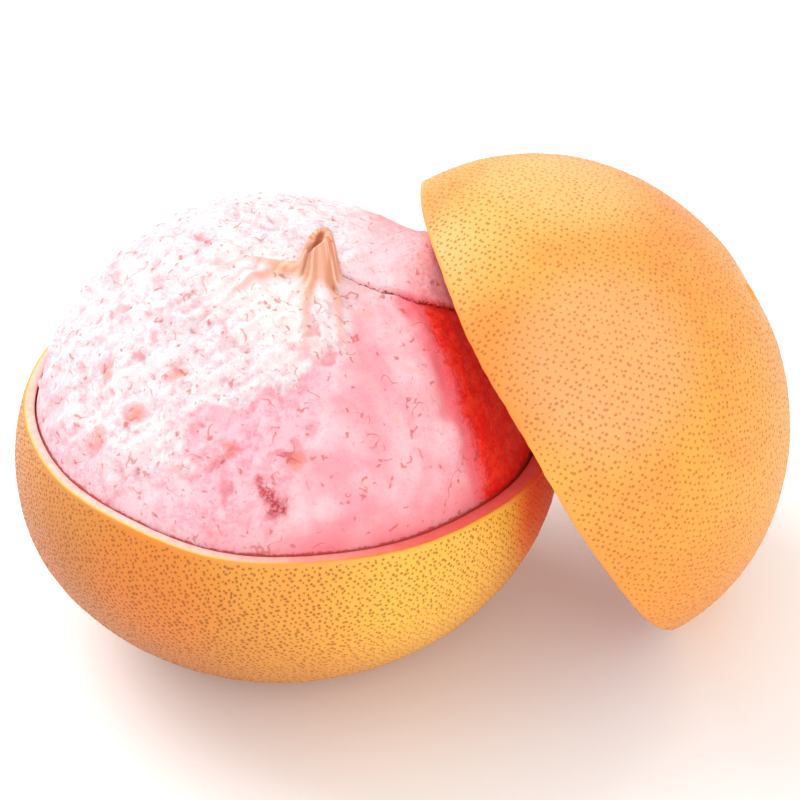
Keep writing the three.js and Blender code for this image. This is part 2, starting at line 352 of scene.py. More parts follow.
def near(tree, where, place, inner, outer):
    """A number socket: 1 within inner mm of a place, falling smoothly to 0 at outer mm."""
    target = tuple(float(value) * MM for value in place)
    away = add(tree, "VectorMath", (where, target), operation="DISTANCE")
    return add(tree, "MapRange", (away, inner * MM, outer * MM, 1.0, 0.0))


def tint(tree, under, share, strength, colour):
    """The colour under with a wash of colour over it, from none to strength while share goes from 0 to 1."""
    return add(tree, "Mix", (add(tree, "MapRange", (share, 0, 1, 0, strength)), under, linear(colour)))


# Patches on the skin: middle, radius that is whole and radius where it ends in millimetres, strength
# and colour. The later ones lie over the earlier.
SKIN_PATCHES = {
    "bowl": ((0, -20, 30), 95, 112, 0.6, "#DB9A35"),
    "shaded_lower_left": ((-60, -45, 20), 15, 125, 0.85, "#B25E14"),
    # Painted shade: deeper orange, with darker glands, on the bowl's lower left, which faces away from the
    # window.
    "yellow": ((48, -62, 66), 8, 55, 0.75, "#F8BC44"),
    "sunset": ((84, -30, 66), 8, 33, 0.95, "#F83C00"),
    # Painted light: paler yellow on the top of the upper rind.
    "painted_light_top": ((84, 18, 147), 8, 40, 0.5, "#F6C980"),
    "amber": ((68, -42, 118), 8, 34, 0.85, "#E08730"),
    "low": ((100, -55, 40), 15, 60, 0.5, "#E2892F"),
    "peach": ((96, -42, 124), 12, 42, 0.55, "#FBAF78"),
    "olive": ((59, -6, 142), 3, 28, 0.65, "#DFB254"),
    "russet": ((-34, -75, 66), 6, 36, 0.5, "#DE7414"),
}
# Attributes of the peel; among them juice stain with painted red bounce light, and painted shade along the
# gap.
PEEL_STATES = ("wall_depth", "gland", "stain", "seam")
# How strongly the oil glands show, and how much more in two of the patches, one of them the painted
# shade on the bowl's lower left.
SPOT_STRENGTH = 0.56
SPOT_GAINS = {"bowl": 0.2, "shaded_lower_left": 0.3}


def waxy_peel():
    """Fresh pomelo peel: waxed orange-yellow skin over white, pink-tinged pith.

    The eye sees a thin satin skin with darker oil glands that glow a little through it, deeper orange
    in slow patches, a thin yellow line where the skin is cut, and dry felted pith with no shine.
    """
    material = bpy.data.materials.new("waxy_peel")
    material.use_nodes = True
    tree = material.node_tree
    shader = tree.nodes["Principled BSDF"]
    where = add(tree, "TexCoord", out="Object")
    depth, gland, stain, seam = [
        add(tree, "Attribute", out="Fac", attribute_name=label) for label in PEEL_STATES]
    patches = add(tree, "MapRange", (add(tree, "TexNoise", (where, across(55), 3)), 0.35, 0.65))
    skin = add(tree, "Mix", (patches, linear("#F3A23E"), linear("#F09940")))
    mottle = add(tree, "MapRange", (add(tree, "TexNoise", (where, across(9), 3)), 0.3, 0.7))
    skin = tint(tree, skin, mottle, 0.22, "#F6B648")
    shares = {}
    for patch, (place, inner, outer, strength, colour) in SKIN_PATCHES.items():
        shares[patch] = near(tree, where, place, inner, outer)
        skin = tint(tree, skin, shares[patch], strength, colour)
    spot = SPOT_STRENGTH
    for patch, gain in SPOT_GAINS.items():
        spot = add(tree, "Math", (shares[patch], gain, spot), operation="MULTIPLY_ADD")
    spots = add(tree, "MapRange", (gland, 0.05, 0.8, 0, spot))
    skin = add(tree, "Mix", (spots, skin, linear("#A33800")))
    felt = add(tree, "MapRange", (add(tree, "TexNoise", (where, across(3), 4)), 0.3, 0.7))
    pith = add(tree, "Mix", (felt, linear("#EFC9BC"), linear("#EDB6AA")))
    under_skin = add(tree, "MapRange", (depth, 0.8, 1.7))
    cut = add(tree, "Mix", (under_skin, linear("#EEC25E"), pith))
    # Juice stain and painted red bounce light from the fruit on the lower rind's cut edge; pink juice
    # blotches inside the upper rind.
    cut = add(tree, "Mix", (stain, cut, linear("#E8302A")))
    # Painted shade: a dark red band on the inside of the cut edge, along the gap to the fruit.
    cut = add(tree, "Mix", (seam, cut, linear("#C0392F")))
    skin_depth = (0.3, 0.95)
    colour = add(tree, "Mix", (add(tree, "MapRange", (depth, *skin_depth)), skin, cut))
    tree.links.new(colour, shader.inputs["Base Color"])
    rough = add(tree, "MapRange", (depth, *skin_depth, 0.42, 0.85))
    tree.links.new(rough, shader.inputs["Roughness"])
    shader.inputs["IOR"].default_value = 1.45
    shader.inputs["Subsurface Weight"].default_value = 0.12
    shader.inputs["Subsurface Radius"].default_value = (1.0, 0.45, 0.15)
    shader.inputs["Subsurface Scale"].default_value = 2.5 * MM
    pores = add(tree, "TexNoise", (where, across(1.3), 2))
    bump = add(tree, "Bump", {"Height": pores, "Strength": 0.25, "Distance": 0.25 * MM})
    tree.links.new(bump, shader.inputs["Normal"])
    return material


peel = waxy_peel()
lower_flat = -np.arcsin(WIDEST_HEIGHT / LOWER_DEPTH)
lower = half_rind("lower_rind_skin", lower_flat, lower_cut, lower_wall, lower_marks)
lower.data.materials.append(peel)
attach(lower, "root")
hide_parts("lower_rind")

lower_glands = oil_glands(
    "lower_rind_oil_glands", LOWER_GLANDS, 21, GLAND_RADII["lower"],
    (lower_flat + FLAT_MARGIN, HIGHEST_GLAND, lower_cut), lower_wall)
lower_glands.data.materials.append(peel)
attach(lower_glands, "root")


# The upper half of the rind, pulled off whole and leaned on the fruit, cut edge down. Its crown was the
# stem end, so it carries the round scar of the stem, and its hollow shows the felted pink pith.
UPPER_RADIUS = 80.3
UPPER_DEPTH = 72.7
UPPER_CENTRE = np.array([84.3, 13.8, 69.0])
CROWN_ELEVATION = np.radians(30.3)
CROWN_TURN = np.radians(7.4)
STEM_SCAR = {"radius": 9.0, "depth": 2.4}
STEM_BUTTON = {"height": 1.6, "foot": 4.2, "brim": 3.0}
# How far off in the noise this half's pebbling is taken, so that the halves differ.
ANOTHER_PEEL = 200
BLOTCH_SIZE = 14.0
BLOTCH_STAIN = 0.25
UPPER_GLANDS = 9600
# Latitudes from the stem's pole: where the wall's first ring and the first glands lie.
STEM_GAP = 0.01
STEM_MARGIN = 0.13
UPPER_HIGHEST_GLAND = 0.02

crown = np.array([np.cos(CROWN_ELEVATION) * np.cos(CROWN_TURN),
                  np.cos(CROWN_ELEVATION) * np.sin(CROWN_TURN), np.sin(CROWN_ELEVATION)])
edge_top = np.array([0, 0, 1]) - crown[2] * crown
edge_top /= np.linalg.norm(edge_top)
edge_side = np.cross(crown, edge_top)


def upper_wall(turn, latitude, depth):
    """Point of the upper rind: half an ellipsoid round its crown, pressed flat where it stands.

    The scar is a bell curve of the distance from the stem, and the button a step with a dent in it.
    """
    plain = on_ball(turn, latitude) * UPPER_RADIUS
    from_stem = UPPER_RADIUS * np.cos(latitude)
    scar = np.where(depth > 0, 0, STEM_SCAR["depth"] * np.exp(-((from_stem / STEM_SCAR["radius"]) ** 2)))
    step = STEM_BUTTON["height"] * fade(from_stem, STEM_BUTTON["foot"], STEM_BUTTON["brim"])
    button = np.where(depth > 0, 0, step * (1 - 0.5 * fade(from_stem, 2.2, 0.8)))
    relief = np.where(depth == 0, pebbling(plain + ANOTHER_PEEL), 0)
    felt = -inner_felt(plain) * fade(-latitude, 0.02, 0.12)
    relief = np.where(depth == RIND_THICKNESS, felt, relief)
    swell = np.where(depth > 0, 0, swelling(turn + 1, latitude)) + relief
    out = (UPPER_RADIUS + swell - depth) * np.cos(latitude)
    along = (UPPER_DEPTH + relief - depth) * -np.sin(latitude) - scar + button
    points = (UPPER_CENTRE + out[..., None] * np.cos(turn)[..., None] * edge_top
              - out[..., None] * np.sin(turn)[..., None] * edge_side + along[..., None] * crown)
    points[..., 2] = np.maximum(points[..., 2], 0)
    return points


def upper_cut(turn):
    """Latitude of the knife's cut on the upper half."""
    return cut_wander(turn + 2) / UPPER_RADIUS


def upper_marks(points, depth):
    """Faint pink blotches of juice inside the upper rind: the upper half of slow value noise."""
    return {"stain": BLOTCH_STAIN * fade(wool(points, BLOTCH_SIZE, 15), 0.0, 0.6) * fade(depth, 3, 5)}


upper = half_rind("upper_rind_skin", -np.pi / 2 + STEM_GAP, upper_cut, upper_wall, upper_marks)
upper.data.materials.append(peel)
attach(upper, "root")
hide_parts("upper_rind")

upper_glands = oil_glands(
    "upper_rind_oil_glands", UPPER_GLANDS, 22, GLAND_RADII["upper"],
    (-np.pi / 2 + STEM_MARGIN, UPPER_HIGHEST_GLAND, upper_cut), upper_wall)
upper_glands.data.materials.append(peel)
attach(upper_glands, "root")


# The peeled fruit: a ball of segments hidden under its spongy pith, white and torn at the left, smooth
# and pink at the front, and red toward the upper rind, where red light reflected from it is painted on.
# The stem's nub stands on its crown with ridges of pith running out from it, and a flap of pith has
# lifted at the right.
FRUIT_RADIUS = RIND_RADIUS - RIND_THICKNESS - FIT_GAP
DOME_POWER = 1.94
DOME_SHIFT = np.array([-6.6, 1.8])
NUB_ON_DISC = np.array([0.19, -0.21])
NUB_HEIGHT = 12.4
NUB_SPREAD = 5.2
NUB_POWER = 6.0
NUB_SLANT = 0.05
NUB_HOLLOW = {"x": -2.6, "y": -1.1, "radius": 1.9, "depth": 3.6}
NUB_CUP = {"x": -0.7, "y": -1.2, "radius": 2.0, "depth": 2.1}
NUB_MIDDLE = (14, -15, 142)
NUB_RUN = {"x": 0.79, "y": 0.61, "length": 6, "radius": 1.6, "fading": 9}
RIDGE_WIDTH = 2.3
STRAW_CORE = 6
STRAW_WIDTH = 0.85
STRAW_REACH = 1.3
FRUIT_COLUMNS = 420
FRUIT_ROWS = {"dome": 200, "seat": 24}
DOME_CROWDING = 1.25
# Dents, and bumps where the depth is negative: a place on the dome, a radius and a depth.
SCARS = np.array([[1.5, -71, 96, 4.5, 3.2], [8.5, -70, 96, 4, -1.6], [-38, -59, 95, 5, 2],
                  [-52, -40, 104, 7, 1.6], [-20, -62, 108, 8, -1.4], [-62, -20, 100, 9, -1.5],
                  [-30, -35, 128, 8, 1.2]])
# The flap's rise at its left and how much more at its right, and its torn front edge seen from above.
FLAP_RISE = (1.4, 8.6)
TEAR = np.array([[18, -13], [25, -16.5], [31.5, -15], [37, -13.6], [42.2, -13.6], [47, -11], [54, -7]])
# Turn in degrees, height, reach and straw colour of each ridge.
RIDGES = [(179, 2.3, 30, 0.8), (199, 1.9, 27, 0.95), (228, 1.1, 14, 0.4), (257, 2.5, 24, 0.9),
          (272, 2.2, 32, 0.0), (292, 2.1, 21, 1.0), (335, 1.1, 13, 0.4), (38, 1.2, 18, 0.1),
          (88, 1.6, 24, 0.1), (128, 1.3, 20, 0.2)]
# Attributes of the pith; among them painted red and pink light toward the upper rind, and painted shade in
# the creases.
PITH_STATES = ("torn", "pit_and_crease_shade", "blush", "straw", "fibre", "hollow", "bruise", "wine", "front", "red_light",
               "pink_light_and_low_front", "pale", "ridged", "above_rim")
FAR_FROM_IT = 9.0
# The red side, painted red light reflected from the upper rind: it starts where these shares of a
# point's place add up to nearly 1.
RED_SIDE_SLANT = (0.01363, 0.00342, 0.00369)
RED_SIDE_FOOT = 84
# Rust-coloured bruises, each a place on the dome and a radius, and the wine-red notch torn at the front
# with a small one at the left, each place with a radius and a depth of colour.
BRUISES = np.array([[8, -65, 104.7, 3.6], [-47.4, -33.7, 112.2, 3.2], [-26.1, -44, 119.3, 3.6],
                    [-38.3, -47.5, 108.9, 3.6], [-50, -46.1, 98.1, 4.2], [-10.5, -62.6, 106.5, 2.8],
                    [-26, -60, 99, 3.0]])
NOTCH = np.concatenate([np.linspace([-3.6, -66.8, 102.8, 1.1, 1.1], [2.4, -72.3, 92.4, 3.0, 1.9], 9),
                        [[-38.2, -58.7, 94.9, 2.0, 1.5], [-36.6, -57.2, 97.4, 1.2, 1.0]]])


def fruit_middle(height):
    """Middle of the fruit at each height: it leans with the rind, and its crown is shifted."""
    share = np.clip((height - WIDEST_HEIGHT) / FRUIT_HEIGHT, 0, 1)[..., None] ** 2
    return np.stack([LEAN_SLOPE * height, 0 * height], axis=-1) + DOME_SHIFT * share


def lumps(p):
    """Rounded lumps of torn pith: three products of slanted sine waves, strongest at the left."""
    x, y, z = p[..., 0], p[..., 1], p[..., 2]
    rough = 0.22 + 0.78 * fade(x, 16, -8)
    coarse = np.sin(0.31 * x + 0.6) * np.sin(0.27 * y - 0.35 * z + 1.1)
    middle = np.sin(0.52 * x - 0.4 * z) * np.sin(0.49 * y + 0.3 * x + 2)
    small = np.sin(0.83 * y + 0.5 * z + 0.4) * np.sin(0.9 * x - 0.61 * z + 1.7)
    return rough * (0.9 * coarse + 0.75 * middle + 0.5 * small)


def scar_depth(p):
    """Dents and bumps at chosen places, each a bell curve of the distance from its middle."""
    total = np.zeros(p.shape[:-1])
    for x, y, z, radius, depth in SCARS:
        away = np.linalg.norm(p - (x, y, z), axis=-1) / radius
        total += depth * np.exp(-(away ** 2))
    return total


def flap_rise(x, y, wander):
    """The lifted flap: a low torn front edge, a rounded rise behind it, and a long slope down.

    Also gives the distance in front of the torn edge, negative behind it.
    """
    front = np.interp(x, TEAR[:, 0], TEAR[:, 1]) - y + wander * fade(x, 16, 24)
    height = FLAP_RISE[0] + FLAP_RISE[1] * fade(x, 30, 47)
    along = fade(x, 15, 24) * fade(x, 66, 51)
    across = 0.24 * fade(front, 0.5, -0.7) + 0.76 * fade(front, 0.5, -12.5)
    return height * along * across * fade(front, -52, -14), front


def nub_rise(away, turn):
    """The stem nub: a blunt stump, higher and whole at its right, and ridges of pith running out from it.

    Also gives how straw-coloured the fibres are, and how brown the small cup in the hollow is and the
    brown streak that runs down from it.
    """
    x, y = away * np.cos(turn), away * np.sin(turn)
    stump = NUB_HEIGHT * (1 + NUB_SLANT * x) * np.exp(-((away / NUB_SPREAD) ** NUB_POWER))
    hollow = np.exp(-(np.hypot(x - NUB_HOLLOW["x"], y - NUB_HOLLOW["y"]) / NUB_HOLLOW["radius"]) ** 2)
    ridge = np.zeros(away.shape)
    straw = np.exp(-((away / STRAW_CORE) ** 3))
    for at, height, reach, colour in RIDGES:
        bend = 0.09 * np.sin(away / 4.5 + at)
        sideways = away * np.sin((turn + bend - np.radians(at)) / 2) * 2
        ridge += height * np.exp(-((sideways / RIDGE_WIDTH) ** 2)) * np.exp(-((away / reach) ** 2))
        core = np.exp(-((sideways / (STRAW_WIDTH * RIDGE_WIDTH)) ** 2))
        straw += colour * core * np.exp(-((away / (STRAW_REACH * reach)) ** 2))
    cup = np.exp(-(np.hypot(x - NUB_CUP["x"], y - NUB_CUP["y"]) / NUB_CUP["radius"]) ** 2)
    down_left = np.clip(-(NUB_RUN["x"] * x + NUB_RUN["y"] * y), 0, NUB_RUN["length"])
    beside_run = np.hypot(x + NUB_RUN["x"] * down_left, y + NUB_RUN["y"] * down_left)
    run = np.exp(-(beside_run / NUB_RUN["radius"]) ** 2) * np.exp(-down_left / NUB_RUN["fading"])
    rise = stump - NUB_HOLLOW["depth"] * hollow - NUB_CUP["depth"] * cup + fade(away, 2, 7) * ridge
    return rise, straw, np.maximum(cup, run)


def dome_point(turn, reach):
    """The plain dome: reach goes from 0 at the nub to 1 at the widest ring, a superellipse in height."""
    pull = 1 - reach * reach
    across_disc = reach * np.cos(turn) + NUB_ON_DISC[0] * pull
    up_disc = reach * np.sin(turn) + NUB_ON_DISC[1] * pull
    ring = np.stack([across_disc, up_disc], axis=-1)
    from_middle = np.minimum(np.linalg.norm(ring, axis=-1), 1)
    lift = np.maximum(1 - from_middle ** DOME_POWER, 0) ** (1 / DOME_POWER)
    height = WIDEST_HEIGHT + FRUIT_HEIGHT * lift
    return np.concatenate([fruit_middle(height) + FRUIT_RADIUS * ring, height[..., None]], axis=-1)


def crumple(p):
    """Puffs of pith between creases: the size of value noise without its sign, in three scales."""
    puffs = np.abs(wool(p, 7.5, 41)) + 0.5 * np.abs(wool(p, 3.8, 42)) + 0.25 * np.abs(wool(p, 2.2, 43))
    return puffs / 1.75


def torn_pits(p):
    """Ragged pits where tufts were plucked out: the peaks of value noise at two scales."""
    large = fade(wool(p, 4.3, 33), 0.36, 0.95)
    small = fade(wool(p, 2.2, 34), 0.4, 0.95)
    return 1.7 * large + 0.9 * small


def bells(p, places):
    """The highest of bell curves round places, each a row of x, y, z, radius and, if given, height."""
    heights = []
    for place in places:
        bell = np.exp(-(np.linalg.norm(p - place[:3], axis=-1) / place[3]) ** 2)
        heights.append(bell * (place[4] if len(place) > 4 else 1))
    return np.max(heights, axis=0)


def red_light_and_tints(plain, front, slow, warp):
    """Painted red light reflected from the upper rind, and tints: fades of a slanted distance toward the
    upper rind, and of the tear.

    The first is the painted red light in front of the tear and a little of it behind, the second the
    painted pink light at its border together with a pink tint low at the front, and the third the pale of
    the dry flap behind the tear. slow and warp shake the borders.
    """
    x, y, z = plain[..., 0], plain[..., 1], plain[..., 2]
    toward = RED_SIDE_SLANT[0] * x + RED_SIDE_SLANT[1] * y + RED_SIDE_SLANT[2] * np.maximum(z, RED_SIDE_FOOT)
    toward = toward + 0.02 * slow + 0.012 * warp[..., 2]
    # Painted red light reflected from the upper rind, and painted pink light at its border.
    red_light = fade(toward, 0.945, 1.05) * fade(front, -0.2, 0.6)
    pink_light_and_low_front = fade(toward, 0.87, 0.98) * (0.4 + 0.6 * fade(front, -0.5, 0.5))
    return {
        "red_light": np.maximum(red_light, 0.3 * fade(toward, 0.93, 1.03) * fade(front, 0, -1)),
        "pink_light_and_low_front": np.maximum(pink_light_and_low_front, 0.55 * fade(z + 3 * warp[..., 0], 99, 82) * fade(x, -55, -10)),
        "pale": 0.7 * fade(front, 1, -3) * fade(x, 58, 44),
    }


nub_foot = dome_point(np.array(0.0), np.array(0.0))


def with_relief(plain):
    """Moves the plain dome's points by their relief, and gives the pith's state at each.

    The state is how torn, pitted, blushed, straw-coloured, bruised, wine-red, brown or ridged the pith
    is, with painted shade in its creases counted with the pits, and how much painted red and pink light
    and pale and low tints it takes, from 0 up, how light its fibre is, and how many millimetres it lies
    in front of the tear and above the lower rind's cut.
    """
    x, y, z = plain[..., 0], plain[..., 1], plain[..., 2]
    middle = fruit_middle(z)
    outward = np.concatenate([(plain[..., :2] - middle) / FRUIT_RADIUS ** 2,
                              ((z - WIDEST_HEIGHT) / FRUIT_HEIGHT ** 2)[..., None]], axis=-1)
    outward /= np.linalg.norm(outward, axis=-1, keepdims=True)
    away = np.hypot(x - nub_foot[0], y - nub_foot[1])
    about = np.arctan2(y - nub_foot[1], x - nub_foot[0])
    seated = fade(z, 84, 92)
    warp = np.stack([wool(plain, 3.5, seed) for seed in (36, 37, 38)], axis=-1)
    slow = wool(plain, 9, 31)
    edge = 6 + np.clip(0.5 * (z - 95), -6, 17) + 6 * slow + 3.5 * wool(plain, 3.6, 32)
    torn = fade(x - edge, 6, -5) * fade(away, 2, 12)
    patch_top = 119.5 + 0.3 * x
    patch = fade(z + 4 * slow + 3 * warp[..., 0] - patch_top, 1.2, -1.2)
    patch = patch * fade(x + 5 * warp[..., 1], -27, -19) * torn
    blush = np.maximum(patch, 0.65 * fade(z + 7 * warp[..., 1], 106, 90) * torn)
    pits = torn_pits(plain + 2.2 * warp) * (0.05 + 0.95 * torn)
    puffs = crumple(plain + 1.2 * warp)
    ridged = fade(away, 42, 16) * fade(np.cos(about - np.radians(215)), 0.2, 0.75)
    calm = (1 - 0.9 * ridged) * (0.45 + 0.55 * fade(wool(plain, 13, 49), -0.3, 0.3))
    nub, straw, hollow = nub_rise(away, about)
    length = 0.16 * away + 0.11 * nub + 0.8 * warp[..., 0]
    streaks = wool(np.stack([7 * np.cos(about), 7 * np.sin(about), length], axis=-1), 1.0, 35)
    ragged = np.stack([wool(plain, 1.9, seed) for seed in (46, 47, 48)], axis=-1)
    relief = seated * (lumps(plain) * fade(away, 6, 20) - scar_depth(plain) - 0.7 * patch)
    relief += seated * fade(away, 4, 12) * calm * (torn * (2.2 * puffs - 0.4) - 0.8 * pits)
    fibres = (0.14 + 0.2 * fade(away, 5, 9)) * streaks * np.exp(-((away / 18) ** 2)) * fade(away, 1.2, 4)
    relief += fibres + 0.1 * seated * wool(plain, 2.5, 39)
    wander = 0.9 * wool(plain, 5.5, 44) + 0.45 * wool(plain, 2.4, 45)
    flap, front = flap_rise(x, y, wander)
    along_tear = fade(x, 16, 26) * fade(x, 60, 52)
    relief -= 1.5 * np.exp(-(((front - 0.7) / 0.65) ** 2)) * along_tear
    points = plain + outward * relief[..., None]
    points[..., 2] += nub + flap
    lip = np.exp(-(((front + 0.8) / 0.9) ** 2)) * fade(x, 24, 38) * fade(x, 62, 52)
    points[..., 1] -= 1.1 * lip
    inward = shrinkage(np.arctan2(y, x), z) / FRUIT_RADIUS
    points[..., :2] -= (plain[..., :2] - middle) * inward[..., None]
    # Painted shade in the creases between the puffs, carried together with the pits.
    crease_shade = fade(puffs, 0.26, 0.06) * torn
    cut_rise = LOWER_DEPTH * np.sin(lower_cut(np.arctan2(y, x)))
    state = {
        "torn": torn,
        "pit_and_crease_shade": np.maximum(pits, 1.1 * crease_shade),
        "blush": blush,
        "straw": np.clip(straw, 0, 1),
        "fibre": 0.5 + 0.5 * streaks,
        "hollow": hollow,
        "bruise": bells(plain + 1.5 * ragged, BRUISES),
        "wine": bells(plain + 1.3 * ragged, NOTCH),
        "front": np.where(along_tear > 0.02, front, FAR_FROM_IT),
        "ridged": ridged,
        "above_rim": points[..., 2] - WIDEST_HEIGHT - cut_rise,
    }
    return points, {**state, **red_light_and_tints(plain, front, slow, warp)}


def seat_point(turn, latitude):
    """The hidden half, which follows the inside of the lower rind."""
    height = WIDEST_HEIGHT + (LOWER_DEPTH - RIND_THICKNESS - FIT_GAP) * np.sin(latitude)
    out = (FRUIT_RADIUS - shrinkage(turn, height)) * np.cos(latitude)
    return np.stack([out * np.cos(turn) + LEAN_SLOPE * height, out * np.sin(turn), height], axis=-1)


def spongy_pith():
    """Citrus pith: a dry white sponge, tinged pink by the fruit under it, crossed by fine veins.

    The eye sees soft matt white tufts with pink hollows and painted shade in the creases on the torn side,
    smooth pink with short brown vein marks at the front, a glossier red side that is painted red light
    reflected from the upper rind, with painted pink light at its border, painted shade along the tear's
    crack and the gap above the lower rind, and straw-coloured fibres at the stem's nub.
    """
    material = bpy.data.materials.new("spongy_pith")
    material.use_nodes = True
    tree = material.node_tree
    shader = tree.nodes["Principled BSDF"]
    where = add(tree, "TexCoord", out="Object")
    torn, pit_and_crease_shade, blush, straw, fibre, hollow, bruise, wine, front, red_light, pink_light_and_low_front, pale, ridged, above_rim = [
        add(tree, "Attribute", out="Fac", attribute_name=label) for label in PITH_STATES]
    cloud = add(tree, "MapRange", (add(tree, "TexNoise", (where, across(14), 3)), 0.32, 0.68))
    smooth = add(tree, "Mix", (cloud, linear("#EE9EA9"), linear("#F4C8D0")))
    warm = add(tree, "MapRange", (add(tree, "TexNoise", (where, across(7), 3)), 0.56, 0.72, 0, 0.5))
    smooth = add(tree, "Mix", (warm, smooth, linear("#F0A198")))
    smooth = add(tree, "Mix", (pale, smooth, linear("#F3D6DA")))
    # Painted pink light at the border of the painted red light, and a pink tint low at the front.
    smooth = tint(tree, smooth, pink_light_and_low_front, 0.8, "#F2606C")
    tuft = add(tree, "MapRange", (add(tree, "TexNoise", (where, across(2.4), 5, 0.7)), 0.37, 0.6))
    plush = add(tree, "MapRange", (add(tree, "TexNoise", (where, across(12))), 0.46, 0.6, 0, 0.8))
    tuft = add(tree, "Math", (tuft, plush), operation="MAXIMUM")
    white = add(tree, "Mix", (tuft, linear("#DEBFC9"), linear("#E6DDDE")))
    white = tint(tree, white, ridged, 0.75, "#EBDFDB")
    layer = add(tree, "Mix", (tuft, linear("#EE9DAC"), linear("#F0BAC5")))
    # The same painted pink light and low pink tint on the pink layer.
    layer = tint(tree, layer, pink_light_and_low_front, 0.6, "#EA7F88")
    white = add(tree, "Mix", (add(tree, "MapRange", (blush, 0, 1, 0, 0.9)), white, layer))
    colour = add(tree, "Mix", (torn, smooth, white))
    # Pink in the plucked pits, and painted shade in the creases between the puffs.
    pits_and_crease_shade = add(tree, "MapRange", (pit_and_crease_shade, 0.2, 1.9, 0, 0.62))
    colour = add(tree, "Mix", (pits_and_crease_shade, colour, linear("#DE7985")))
    speck_strength = add(tree, "MapRange", (torn, 0, 1, 0.3, 0.5))
    speck = add(tree, "MapRange", (add(tree, "TexNoise", (where, across(1.3))), 0.6, 0.7, 0, speck_strength))
    colour = add(tree, "Mix", (speck, colour, linear("#C57C90")))
    fibrous = add(tree, "MapRange", (fibre, 0.25, 0.75))
    peach = add(tree, "Mix", (fibrous, linear("#D38A60"), linear("#E8BB9E")))
    at_nub = near(tree, where, NUB_MIDDLE, 9, 22)
    peach = add(tree, "Mix", (at_nub, linear("#E8A097"), peach))
    colour = add(tree, "Mix", (add(tree, "MapRange", (straw, 0.08, 0.9, 0, 0.9)), colour, peach))
    bruised = add(tree, "MapRange", (bruise, 0.2, 0.95, 0, 0.6))
    colour = add(tree, "Mix", (bruised, colour, linear("#E27458")))
    brown = add(tree, "MapRange", (hollow, 0.15, 0.75, 0, 0.92))
    colour = add(tree, "Mix", (brown, colour, linear("#9C4616")))
    crumbs = add(tree, "MapRange", (add(tree, "TexNoise", (where, across(1), 3)), 0.38, 0.6, 0.45, 0.95))
    wine_red = add(tree, "MapRange", (wine, 0.4, 1.5, 0, crumbs))
    colour = add(tree, "Mix", (wine_red, colour, linear("#B42C36")))
    # Painted red light reflected from the upper rind, mottled, on the side toward it.
    red_light_mottle = add(tree, "MapRange", (add(tree, "TexNoise", (where, across(3.5), 5, 0.7)), 0.42, 0.6))
    red_light_colour = add(tree, "Mix", (red_light_mottle, linear("#EE180C"), linear("#FF3C22")))
    speckle = add(tree, "MapRange", (add(tree, "TexNoise", (where, across(1.1), 3)), 0.35, 0.65, -0.15, 0.15))
    red_side = add(tree, "MapRange", (add(tree, "Math", (red_light, speckle)), 0.05, 1.05))
    colour = add(tree, "Mix", (red_side, colour, red_light_colour))
    # Painted shade: a dark red line in the crack along the flap's torn front edge, under its lip.
    fray = add(tree, "MapRange", (add(tree, "TexNoise", (where, across(0.8))), 0.3, 0.7, -0.3, 0.3))
    from_tear = add(tree, "Math", (add(tree, "Math", (front, fray)), 0.7), operation="SUBTRACT")
    from_tear = add(tree, "Math", (from_tear,), operation="ABSOLUTE")
    tear_shade = add(tree, "MapRange", (from_tear, 0.5, 0.12, 0, 0.85))
    colour = add(tree, "Mix", (tear_shade, colour, linear("#8C2420")))
    colour = add(tree, "Mix", (vein_marks(tree, where), colour, linear("#C44E40")))
    # Painted shade: a dark red line on the fruit just above the lower rind's cut, along the gap between them.
    crumb = add(tree, "MapRange", (add(tree, "TexNoise", (where, across(2), 3)), 0.3, 0.7, -0.4, 0.4))
    gap_shade_at_rim = add(tree, "MapRange", (add(tree, "Math", (above_rim, crumb)), 0.35, -0.3, 0, 0.8))
    colour = add(tree, "Mix", (gap_shade_at_rim, colour, linear("#D0463A")))
    tree.links.new(colour, shader.inputs["Base Color"])
    # The side of painted red light is also less rough.
    tree.links.new(add(tree, "MapRange", (red_light, 0, 1, 0.7, 0.4)), shader.inputs["Roughness"])
    shader.inputs["IOR"].default_value = 1.4
    shader.inputs["Subsurface Weight"].default_value = 0.3
    shader.inputs["Subsurface Radius"].default_value = (1.0, 0.35, 0.3)
    shader.inputs["Subsurface Scale"].default_value = 4 * MM
    sponge = add(tree, "TexNoise", (where, across(1.1), 3, 0.6))
    bump = add(tree, "Bump", {"Height": sponge, "Strength": 0.5, "Distance": 0.5 * MM})
    tree.links.new(bump, shader.inputs["Normal"])
    return material


# Short veins: the cell that holds one, half its length, half its width and how far noise bends it.
VEIN_CELL = 5.4
VEIN_HALF_LENGTH = 1.3
VEIN_HALF_WIDTH = 0.85
VEIN_BEND = 3.4


